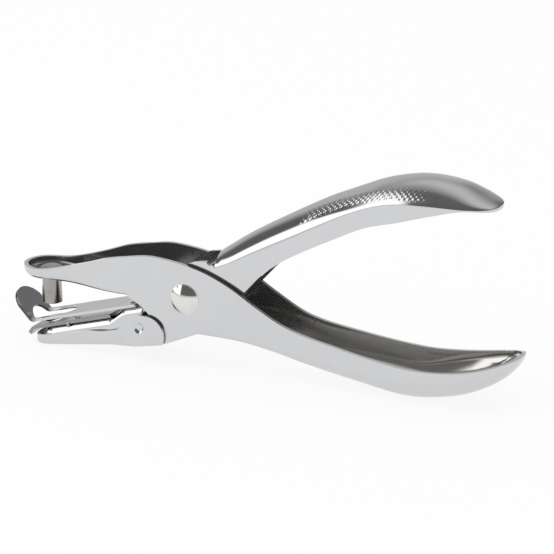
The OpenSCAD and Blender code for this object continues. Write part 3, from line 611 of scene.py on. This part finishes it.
def punchPin(s):  # dished tip, tapered body, tenon and a riveted head over the washer
    r = np.linspace(0, s["radius"] - s["tipEdge"][0], 10)
    dish = np.stack([r, s["tip"] + s["dish"] - s["hollow"] + np.sqrt(s["hollow"] ** 2 - r ** 2)], -1)
    under = s["floor"] - layout["seat"]
    top = s["floor"] + layout["sheet"] + s["washer"] + layout["seat"]
    head = [(radius, top + height) for radius, height in s["head"]]
    body = rounded([tuple(dish[-1]), (s["radius"], s["tip"] + s["tipEdge"][1]), (s["shoulder"], under),
                    (s["tenon"], under), (s["tenon"], top), *head], s["corner"])
    return weld([(turned(np.concatenate([dish, body]), (-layout["jawReach"], 0, 0), "z"), False)], False)


def washerRing(s):  # a flat ring round the punch's tenon with eased corners
    profile = rounded([(s["inner"], s["low"]), (s["outer"], s["low"]), (s["outer"], s["high"]),
                       (s["inner"], s["high"]), (s["inner"], s["low"])], s["corner"])
    return weld([(turned(profile, (-layout["jawReach"], 0, 0), "z"), False)], False)


addPiece("punch_turned", "punch_pin", "frame", punchPin(pinShape), toolSteel)
addPiece("washer_ring", "punch_washer", "frame", washerRing(washerShape), toolSteel)


def onJaw(u, y, w):  # a point of the open lower jaw: u along the die plate, w above its top face
    j = jawShape
    c, s = np.cos(np.radians(j["slope"])), np.sin(np.radians(j["slope"]))
    return np.stack([j["dieX"] + u * c - w * s, y + 0 * u, j["dieZ"] + u * s + w * c], -1)


def bentStrip(rear, w, root, turn, radius, reach, places):
    # middle line of a strip that runs forward from u = rear and turns by an angle round its fold
    fine = np.linspace(0, reach, 3000)
    half = 0.5 * radius * abs(turn)
    angle = turn * np.clip((fine - (rear - root) + half) / (2 * half), 0, 1)
    step = fine[1] - fine[0]
    u = rear - np.concatenate([[0], np.cumsum(np.cos(angle[:-1]) * step)])
    z = w + np.concatenate([[0], np.cumsum(np.sin(angle[:-1]) * step)])
    return np.interp(places, fine, u), np.interp(places, fine, z)


def stripGrid(u, w, outer, inner):  # near half of a strip, in rows from its outer edge to the rim of its hole
    v = np.linspace(0, 1, 9)
    y = -(outer[:, None] + (np.minimum(inner, outer) - outer)[:, None] * v)
    return onJaw(u[:, None] + 0 * v, y, w[:, None] + 0 * v)


guideShape = {"rear": 30.0, "root": -4.8, "tab": 10.0, "turn": 62.0, "fold": 1.3, "foldRows": 1.2, "half": 6.1,
              "tabRound": 6.4, "slotHalf": 4.3, "slotEnd": 7.2, "arch": 3.2, "thick": 0.8, "rim": 0.14}


def paperGuide(g):
    # unrolled strip from its rear edge, with corners of 1 mm, to the round top of the turned-up tab;
    # a slot with round ends runs along its middle
    flat = g["rear"] - g["root"]
    reach = flat + g["tab"]
    slotHalf, slotFrom, slotTo = g["slotHalf"], g["rear"] - g["slotEnd"], flat + g["arch"]
    turnA = 1 - np.cos(np.linspace(0, np.pi / 2, 14))
    s = np.unique(np.round(np.concatenate([
        np.linspace(0, 1, 8) ** 2, np.linspace(1, slotFrom, 20), slotFrom + slotHalf * turnA,
        np.linspace(slotFrom + slotHalf, slotTo - slotHalf, 16),
        np.linspace(flat - g["foldRows"], flat + g["foldRows"], 14), slotTo - slotHalf * turnA,
        np.linspace(slotTo, reach - 1, 14), reach - 1 + np.sin(np.linspace(0, np.pi / 2, 12))]), 5))
    outer = np.full(len(s), g["half"]) - np.where(s < 1, 1 - np.sqrt(np.clip(1 - (1 - s) ** 2, 0, None)), 0)
    past = np.clip(s - (reach - g["tabRound"]), 0, g["tabRound"])
    outer = np.minimum(outer, np.sqrt(np.clip(g["tabRound"] ** 2 - past ** 2, 0, None)))
    rearEnd = np.clip(slotFrom + slotHalf - s, 0, None)
    frontEnd = np.clip(s - slotTo + slotHalf, 0, None)
    into = np.minimum(rearEnd, slotHalf) + np.minimum(frontEnd, slotHalf)
    inner = np.sqrt(np.clip(slotHalf ** 2 - into ** 2, 0, None))
    middle = jawShape["slot"] + g["thick"] / 2
    u, w = bentStrip(g["rear"], middle, g["root"], np.radians(g["turn"]), g["fold"], reach, s)
    return weld([(stripGrid(u, w, outer, inner), True)], True)


addPiece("guide_strip", "paper_guide", "lever", paperGuide(guideShape), chrome,
         wall=guideShape["thick"], offset=0.0, edge=guideShape["rim"], cut=guideEdge)

dieShape = {"rear": 20.8, "root": -5.08, "lip": 3.0, "turn": -38.0, "fold": 1.2, "half": 5.6, "corner": 1.6,
            "hole": 3.28, "thick": 1.0, "tabAt": 6.5, "tabHalf": 0.5, "tabOut": 5.3, "tabDown": -2.0,
            "tabRoot": 1.4, "tabBend": 0.7, "rim": 0.12}


def diePlate(d):
    # unrolled strip with the die's hole; its lip turns down in front, and a tab on each side
    # turns down by a quarter circle along the jaw's cheek
    flat = d["rear"] - d["root"]
    reach = flat + d["lip"]
    turnA = np.cos(np.linspace(0, np.pi, 33))
    s = np.unique(np.round(np.concatenate([
        np.linspace(0, d["rear"] - d["hole"], 14), d["rear"] + d["hole"] * turnA,
        np.linspace(d["rear"] + d["hole"], reach - d["corner"], 16),
        reach - d["corner"] + d["corner"] * np.sin(np.linspace(0, np.pi / 2, 12))]), 5))
    past = np.clip(s - (reach - d["corner"]), 0, d["corner"])
    outer = d["half"] - d["corner"] + np.sqrt(d["corner"] ** 2 - past ** 2)
    inner = np.sqrt(np.clip(d["hole"] ** 2 - (s - d["rear"]) ** 2, 0, None))
    middle = -d["thick"] / 2
    u, w = bentStrip(d["rear"], middle, d["root"], np.radians(d["turn"]), d["fold"], reach, s)
    a = np.linspace(0, np.pi / 2, 8)
    bend = d["tabBend"]
    out = np.concatenate([[d["tabOut"] - d["tabRoot"]], d["tabOut"] - bend + bend * np.sin(a), [d["tabOut"]]])
    down = np.concatenate([[middle], middle - bend * (1 - np.cos(a)), [d["tabDown"]]])
    across = np.linspace(-1, 1, 5)[:, None] * d["tabHalf"]
    tab = onJaw(d["tabAt"] + across + 0 * out, -out + 0 * across, down + 0 * across)
    return weld([(stripGrid(u, w, outer, inner), True), (tab, False)], True)


addPiece("die_strip", "die_plate", "lever", diePlate(dieShape), dieChromeShaded,
         wall=dieShape["thick"], offset=0.0, edge=dieShape["rim"])

smallRivet = {"at": 28.0, "gauge": 3.2, "top": 2.0, "head": 1.6, "domeHeight": 0.52, "domePower": 2.6,
              "shank": 1.0, "foot": [(1.5, -0.08), (1.5, -0.6), (0, -0.62)], "corner": 0.08}


def guideRivet(s, side):  # shallow dome on the guide, shank, and a flat foot under the jaw's sheet
    a = np.linspace(0, 1, 10)
    dome = np.stack([s["head"] * a, s["top"] + layout["seat"] + s["domeHeight"] * (1 - a ** s["domePower"])], -1)
    below = [(s["head"], s["top"]), (s["shank"], s["top"]), (s["shank"], -layout["seat"]), *s["foot"]]
    r, h = np.concatenate([dome, rounded(below, s["corner"])]).T
    turn = np.linspace(0, 2 * np.pi, 41)
    u, y = s["at"] + r[:, None] * np.cos(turn), side * s["gauge"] + r[:, None] * np.sin(turn)
    return weld([(onJaw(u, y, h[:, None] + 0 * turn), True)], False)


addPiece("small_rivet_near", "guide_rivet_near", "lever", guideRivet(smallRivet, -1), rivetSteel)
addPiece("small_rivet_far", "guide_rivet_far", "lever", guideRivet(smallRivet, 1), rivetSteel)

springShape = {"coil": 4.6, "wire": 0.55, "pitch": 1.6, "turns": 3, "legUp": 33.0, "legDown": -14.0,
               "upLength": 21.5, "downLength": 9.0, "legStart": 0.4, "endShare": 0.85, "steps": 260}


def returnSpring(s):
    # round wire carried along a straight leg, a coil round the bush and a second leg, each leg tangent to the coil
    start = s["legUp"] + 90
    sweep = s["legDown"] - 90 + 360 - start + 360 * s["turns"]
    wide = s["pitch"] * sweep / 360
    a = np.radians(start + sweep * np.linspace(0, 1, s["steps"]))
    sideways = wide * np.linspace(-0.5, 0.5, s["steps"])
    coil = np.stack([s["coil"] * np.cos(a), sideways, s["coil"] * np.sin(a)], -1)
    leg = lambda angle: np.array([np.cos(np.radians(angle)), 0, np.sin(np.radians(angle))])
    first = coil[0] + np.linspace(s["upLength"], s["legStart"], 24)[:, None] * leg(s["legUp"])
    second = coil[-1] + np.linspace(s["legStart"], s["downLength"], 14)[:, None] * leg(s["legDown"])
    path = np.concatenate([first, coil, second])
    way = np.gradient(path, axis=0)
    way /= np.linalg.norm(way, axis=1, keepdims=True)
    across = np.cross(way, [0, 1, 0])
    across /= np.linalg.norm(across, axis=1, keepdims=True)
    third = np.cross(way, across)
    # the wire's ends close to a point
    scale = np.concatenate([[0, s["endShare"]], np.ones(len(path) - 2), [s["endShare"], 0]]) * s["wire"]
    doubled = lambda rows: np.concatenate([rows[:1], rows, rows[-1:]])
    path, across, third = doubled(path), doubled(across), doubled(third)
    turn = np.linspace(0, 2 * np.pi, 17)[None, :, None]
    scale = scale[:, None, None]
    grid = path[:, None] + scale * (np.cos(turn) * across[:, None] + np.sin(turn) * third[:, None])
    return weld([(grid, False)], False)


addPiece("spring_wound", "return_spring", "lever", returnSpring(springShape), springWire)


def trayStuds(t):  # the two pressed studs behind the ears, round-ended
    r, (low, high) = t["studRadius"], t["studEnds"]
    profile = rounded([(0, low), (r, low), (r, high), (0, high)], t["studBend"])
    near = turned(profile, (t["stud"][0], 0, t["stud"][1]), "y", 40)
    return weld([(near, False)], True)


addPiece("tray_studs", None, "tray", trayStuds(trayShape), chrome)

# camera fitted to the photograph's angle, for a square picture
cameraSetup = {"azimuth": 24.5, "elevation": 18.0, "distance": 1.0, "lens": 232.05, "sensor": 36.0,
               "target": (0.0041518, 0.0, 0.0281829)}
az, el = np.radians(cameraSetup["azimuth"]), np.radians(cameraSetup["elevation"])
back = np.array([np.sin(az) * np.cos(el), -np.cos(az) * np.cos(el), np.sin(el)])
lens = bpy.data.cameras.new("camera")
lens.lens, lens.sensor_width, lens.clip_end = cameraSetup["lens"], cameraSetup["sensor"], 50.0
camera = bpy.data.objects.new("camera", lens)
camera.location = tuple(np.array(cameraSetup["target"]) + back * cameraSetup["distance"])
camera.rotation_euler = (np.pi / 2 - el, 0, az)
bpy.context.scene.collection.objects.link(camera)
bpy.context.scene.camera = camera

# the studio's pairs say from which to which part of a direction a light comes in or goes out
studio = {
    "floorSize": 6.0, "floorTone": 0.9, "whiteSeen": 0.88, "whiteMirrored": 0.75, "room": 0.95, "dark": 0.14,
    "behind": 0.06, "behindFrom": (0, 0.5),
    "backdrop": 0.4, "backdropBack": (0.15, 0.5), "backdropTop": (0.5, 0.62), "backdropLeft": (-0.05, 0.25),
    "ceiling": 0.5, "ceilingUp": (0.5, 0.75), "ceilingBack": (0.1, 0.5),
    "softbox": 1.5, "softboxLeft": (0.52, 0.6), "softboxFoot": (0.1, 0.16), "softboxTop": (0.72, 0.8),
    "softboxBack": (0.04, 0.1), "cornerUp": (0.39, 0.43), "cornerLeft": (0.77, 0.82),
    "wash": 0.7, "washFront": (0.0, 0.3), "washTop": (0.06, 0.2),
    "lamp": {"at": (-0.5, -0.45, 0.85), "size": 0.7, "power": 1.6},
}


def makeFloor(s):
    # pale floor that the camera and the metal see as nearly white, with part of the object's shadow left in it
    side = s["floorSize"] / 2
    mesh = bpy.data.meshes.new("floor")
    corners = [(-side, -side, 0), (side, -side, 0), (side, side, 0), (-side, side, 0)]
    mesh.from_pydata(corners, [], [(0, 1, 2, 3)])
    floor = bpy.data.objects.new("floor", mesh)
    bpy.context.scene.collection.objects.link(floor)
    made = bpy.data.materials.new("pale_floor")
    made.use_nodes = True
    tree = made.node_tree
    tree.nodes.clear()
    kit = Socket(tree, None)
    ray = kit.node("ShaderNodeLightPath")
    mirrored = (kit.get(ray, "Is Glossy Ray") + kit.get(ray, "Is Transmission Ray")).clip(0, 1)
    share = kit.get(ray, "Is Camera Ray") * s["whiteSeen"] + mirrored * s["whiteMirrored"]
    matt = kit.node("ShaderNodeBsdfDiffuse", Color=(s["floorTone"],) * 3 + (1,))
    glow = kit.node("ShaderNodeEmission", Strength=1.0)
    both = kit.node("ShaderNodeMixShader", i0=share, i1=kit.get(matt, "BSDF"), i2=kit.get(glow, "Emission"))
    tree.links.new(both.outputs[0], tree.nodes.new("ShaderNodeOutputMaterial").inputs[0])
    mesh.materials.append(made)


def makeStudio(s):
    # what the metal mirrors, by direction: a dark room, a grey backdrop behind on the left, a pale ceiling
    # at the back, a white softbox on the left, less its upper left corner, and a pale wash low in front;
    # the floor is lit by an even pale room
    world = bpy.data.worlds.new("studio")
    bpy.context.scene.world = world
    world.use_nodes = True
    tree = world.node_tree
    tree.nodes.clear()
    kit = Socket(tree, None)
    way = kit.node("ShaderNodeSeparateXYZ", Vector=kit.get(kit.node("ShaderNodeTexCoord"), "Generated"))
    dx, dy, dz = kit.get(way, "X"), kit.get(way, "Y"), kit.get(way, "Z")
    left = 0 - dx
    backdrop = (dy.clip(*s["backdropBack"]) * (1 - dz.clip(*s["backdropTop"])) * left.clip(*s["backdropLeft"])
                * s["backdrop"])
    ceiling = dz.clip(*s["ceilingUp"]) * dy.clip(*s["ceilingBack"]) * s["ceiling"]
    corner = dz.clip(*s["cornerUp"]) * left.clip(*s["cornerLeft"])
    height = (1 - corner) * (1 - dz.clip(*s["softboxTop"]))
    softbox = (left.clip(*s["softboxLeft"]) * dz.clip(*s["softboxFoot"]) * height
               * (1 - dy.clip(*s["softboxBack"])) * s["softbox"])
    wash = (0 - dy).clip(*s["washFront"]) * (1 - dz.clip(*s["washTop"])) * s["wash"]
    tone = backdrop + ceiling + softbox + wash + s["dark"] + dy.clip(*s["behindFrom"]) * s["behind"]
    ray = kit.node("ShaderNodeLightPath")
    mirror = kit.node("ShaderNodeBackground", Color=tone, Strength=1.0)
    plain = kit.node("ShaderNodeBackground", Color=(s["room"],) * 3 + (1,), Strength=1.0)
    white = kit.node("ShaderNodeBackground", Color=(1, 1, 1, 1), Strength=1.0)
    lit = kit.node("ShaderNodeMixShader", i0=kit.get(ray, "Is Glossy Ray"),
                   i1=kit.get(plain, "Background"), i2=kit.get(mirror, "Background"))
    both = kit.node("ShaderNodeMixShader", i0=kit.get(ray, "Is Camera Ray"),
                    i1=kit.get(lit, "Shader"), i2=kit.get(white, "Background"))
    tree.links.new(both.outputs[0], tree.nodes.new("ShaderNodeOutputWorld").inputs[0])
    lamp = bpy.data.lights.new("lamp", "AREA")
    lamp.shape, lamp.size, lamp.energy = "SQUARE", s["lamp"]["size"], s["lamp"]["power"]
    holder = bpy.data.objects.new("lamp", lamp)
    holder.location = s["lamp"]["at"]
    aim = np.array(cameraSetup["target"]) - np.array(s["lamp"]["at"])
    holder.rotation_euler = (np.arctan2(np.hypot(aim[0], aim[1]), -aim[2]), 0, np.arctan2(-aim[0], aim[1]))
    holder.visible_glossy = False
    bpy.context.scene.collection.objects.link(holder)


makeFloor(studio)
makeStudio(studio)
bpy.context.scene.view_settings.view_transform = "Standard"
print("camera, floor and light set")
